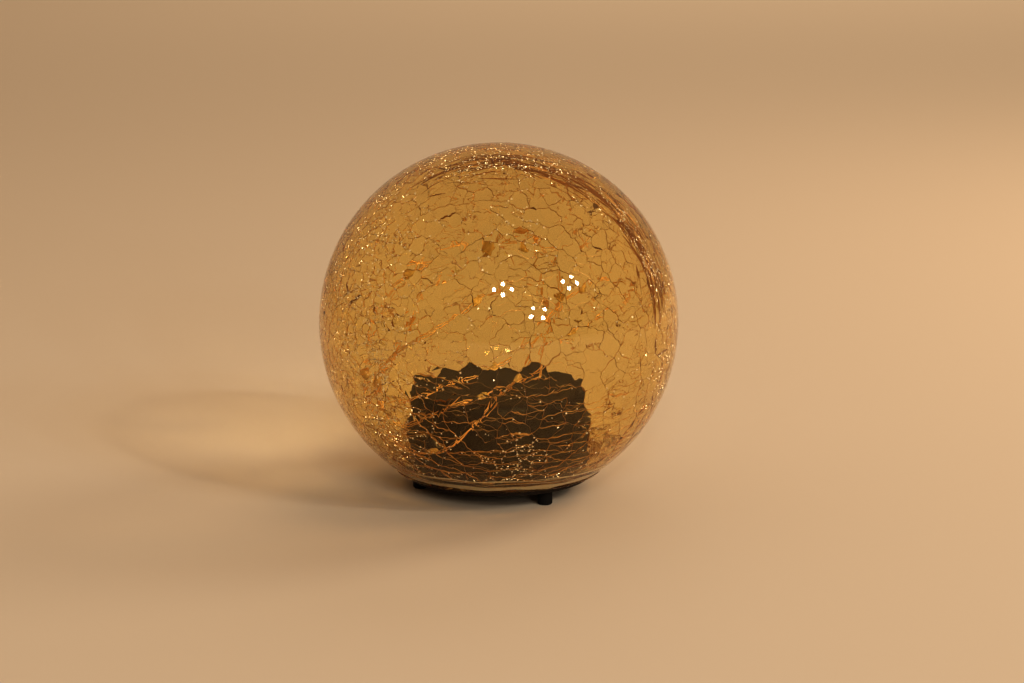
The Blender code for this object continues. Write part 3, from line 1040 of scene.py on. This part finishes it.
class OBJECT_OT_ball_lamps(bpy.types.Operator):
    """Builds the small lamps on the light string"""
    bl_idname = "object.ball_lamps"
    bl_label = "Lamps"

    def execute(self, context):
        make_beads(context.scene.ball_light_string)
        return {"FINISHED"}


# --- The base ---
WEAR_SIZE = 25 / 3 * MM  # size of the patches that are handled more or less smooth


def finish_material(name, hex_colour, roughness, uneven, grain, depth):
    """A dull material: its roughness varies by uneven, and its surface has grains of that size and depth."""
    made = new_material(name, Base_Color=linear(hex_colour), IOR=1.42)
    tree = made.node_tree
    shader = tree.nodes["Principled BSDF"]
    place = add_node(tree, "ShaderNodeTexCoord").outputs["Object"]
    wear = add_node(
        tree, "ShaderNodeTexNoise", inputs={"Scale": 1.0 / WEAR_SIZE, "Detail": 4.0}, links={"Vector": place})
    shine = add_node(
        tree, "ShaderNodeMapRange", inputs={"To Min": roughness - uneven, "To Max": roughness + uneven},
        links={"Value": wear.outputs["Fac"]})
    tree.links.new(shine.outputs["Result"], shader.inputs["Roughness"])
    grains = add_node(
        tree, "ShaderNodeTexNoise", inputs={"Scale": 1.0 / grain, "Detail": 2.0}, links={"Vector": place})
    bump = add_node(
        tree, "ShaderNodeBump", inputs={"Strength": 1.0, "Distance": depth},
        links={"Height": grains.outputs["Fac"]})
    tree.links.new(bump.outputs["Normal"], shader.inputs["Normal"])
    return made


def dress(node, made):
    """Gives a CAD node its material."""
    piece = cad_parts[node]
    piece.data.materials.clear()
    piece.data.materials.append(made)


class OBJECT_OT_ball_base(bpy.types.Operator):
    """Finishes the battery housing, its door and the feet"""
    bl_idname = "object.ball_base"
    bl_label = "Base"

    def execute(self, context):
        settings = context.scene.ball_base
        # ABS moulded in a sparked tool: black with a broad soft sheen and a fine even texture.
        plastic = finish_material(
            "satin_moulded_abs", settings.plastic_colour, 0.55, 0.06, settings.texture_size, 0.02 * MM)
        # Moulded rubber: black with almost no sheen.
        rubber = finish_material(
            "moulded_rubber", settings.rubber_colour, 0.75, 0.08, settings.texture_size, 0.03 * MM)
        dress("battery_housing", plastic)
        dress("battery_door", plastic)
        for node in nodes_named("foot_"):
            dress(node, rubber)
        return {"FINISHED"}


# --- The stage ---
BULB_SIZE = 0.13  # across
GROUP_WIDTH, GROUP_HEIGHT = 0.27, 0.20  # how far a group's bulbs hang from its middle, aside and up
SENSOR_WIDTH = 36.0  # in millimetres, as is the lens
LENS = 79.91015625
SHIFT = (0.01298828125, -0.01904296875)  # of the view, aside and up, as shares of the sensor's width


def add_area_light(name, place, aim, size, power, colour):
    data = bpy.data.lights.new(name, "AREA")
    data.shape = "DISK"
    data.size = size
    data.energy = power
    data.color = linear(colour)[:3]
    light = bpy.data.objects.new(name, data)
    bpy.context.scene.collection.objects.link(light)
    light.location = place
    light.rotation_euler = (Vector(aim) - Vector(place)).to_track_quat("-Z", "Y").to_euler()
    return light


def make_world(settings):
    """A plain warm surround, darker in front of the ball, where the onlooker stands."""
    world = bpy.data.worlds.new("soft_room")
    world.use_nodes = True
    tree = world.node_tree
    back = tree.nodes["Background"]
    back.inputs["Color"].default_value = linear(SUNNY_WHITE)
    look = add_node(tree, "ShaderNodeTexCoord").outputs["Generated"]
    parts = add_node(tree, "ShaderNodeSeparateXYZ", links={"Vector": look})
    shade = add_node(
        tree, "ShaderNodeMapRange", {"interpolation_type": "SMOOTHSTEP"},
        {"From Min": -0.8, "From Max": 0.3, "To Min": settings.front_light, "To Max": settings.back_light},
        {"Value": parts.outputs["Y"]})
    tree.links.new(shade.outputs["Result"], back.inputs["Strength"])
    return world


class SCENE_OT_ball_stage(bpy.types.Operator):
    """Builds the floor, the lights and the camera"""
    bl_idname = "scene.ball_stage"
    bl_label = "Stage"

    def execute(self, context):
        settings = context.scene.ball_stage
        half = settings.floor_size / 2
        mesh = bpy.data.meshes.new("floor")
        corners = [(-half, -half, 0), (half, -half, 0), (half, half, 0), (-half, half, 0)]
        mesh.from_pydata(corners, [], [(0, 1, 2, 3)])
        floor = bpy.data.objects.new("floor", mesh)
        context.scene.collection.objects.link(floor)
        # Matt paint: an even pale ground without shine.
        mesh.materials.append(
            new_material("floor_matt_paint", Base_Color=linear(settings.floor_colour), Roughness=0.9))

        context.scene.world = make_world(settings)
        centre = GLOBE_CENTRE
        for softbox in (
            ("key_softbox", aimed_from(50, 36, 4.0), centre, 0.24, settings.key_power, WARM_WHITE),
            ("front_softbox", aimed_from(-1, 24, 3.2), centre, 0.16, settings.lamp_power, WARM_WHITE),
            ("back_softbox", (0.8, 3.6, 2.6), (0.8, 3.6, 0), 3.0, settings.back_power, WARM_WHITE),
            ("side_softbox", (1.1, 0.5, 0.9), (0.3, 0.2, 0), 0.5, settings.side_power, SUNNY_WHITE),
        ):
            # hidden, so that the glass mirrors only the bulbs
            light = add_area_light(*softbox)
            light.visible_glossy = False
            light.visible_transmission = False
        for group, (azimuth, elevation) in enumerate(BULB_GROUPS):
            middle = aimed_from(azimuth, elevation, BULB_DISTANCE)
            across = Vector((0, 0, 1)).cross(middle - centre).normalized()
            for bulb in range(BULBS_IN_GROUP):
                turn = ROUND * (bulb + 0.35 * group) / BULBS_IN_GROUP
                up = Vector((0, 0, GROUP_HEIGHT * math.sin(turn)))
                place = middle + across * (GROUP_WIDTH * math.cos(turn)) + up
                light = add_area_light(
                    f"bulb_{group + 1}_{bulb + 1}", place, centre, BULB_SIZE, settings.bulb_power, BULB_WHITE)
                light.visible_transmission = group == 0  # the far wall mirrors only the first group

        camera_data = bpy.data.cameras.new("camera")
        camera_data.sensor_width = SENSOR_WIDTH
        camera_data.lens = LENS
        camera_data.shift_x, camera_data.shift_y = SHIFT
        camera = bpy.data.objects.new("camera", camera_data)
        context.scene.collection.objects.link(camera)
        lift = settings.camera_elevation
        back_way = Vector((0, -math.cos(lift), math.sin(lift)))
        camera.location = centre + back_way * settings.camera_distance
        camera.rotation_mode = "QUATERNION"
        camera.rotation_quaternion = (-back_way).to_track_quat("-Z", "Y")
        context.scene.camera = camera

        context.scene.view_settings.view_transform = "Standard"
        context.scene.view_settings.look = "High Contrast"
        cycles = context.scene.cycles
        cycles.max_bounces = 20
        cycles.transmission_bounces = 20
        cycles.glossy_bounces = 8
        cycles.transparent_max_bounces = 24
        cycles.caustics_reflective = False
        return {"FINISHED"}


# --- Panel and run ---
class VIEW3D_PT_glass_ball(bpy.types.Panel):
    bl_label = "Glass Ball"
    bl_space_type = "VIEW_3D"
    bl_region_type = "UI"
    bl_category = "Glass Ball"

    def draw(self, context):
        for operator in OPERATORS:
            self.layout.operator(operator.bl_idname)


OPERATORS = (
    SCENE_OT_ball_stage, OBJECT_OT_ball_base, OBJECT_OT_ball_light_wire, OBJECT_OT_ball_lamps,
    OBJECT_OT_crackle_globe,
)
SETTINGS = {
    "crackle_globe": GlobeSettings, "ball_light_string": LightStringSettings, "ball_base": BaseSettings,
    "ball_stage": StageSettings,
}
CLASSES = (*SETTINGS.values(), *OPERATORS, VIEW3D_PT_glass_ball)


def register():
    for made in CLASSES:
        bpy.utils.register_class(made)
    for name, settings in SETTINGS.items():
        setattr(bpy.types.Scene, name, bpy.props.PointerProperty(type=settings))


def unregister():
    for name in SETTINGS:
        delattr(bpy.types.Scene, name)
    for made in reversed(CLASSES):
        bpy.utils.unregister_class(made)


def main():
    register()
    bpy.ops.scene.ball_stage()
    bpy.ops.object.ball_base()
    bpy.ops.object.ball_light_wire()
    bpy.ops.object.ball_lamps()
    bpy.ops.object.crackle_globe()


if __name__ == "__main__":
    main()
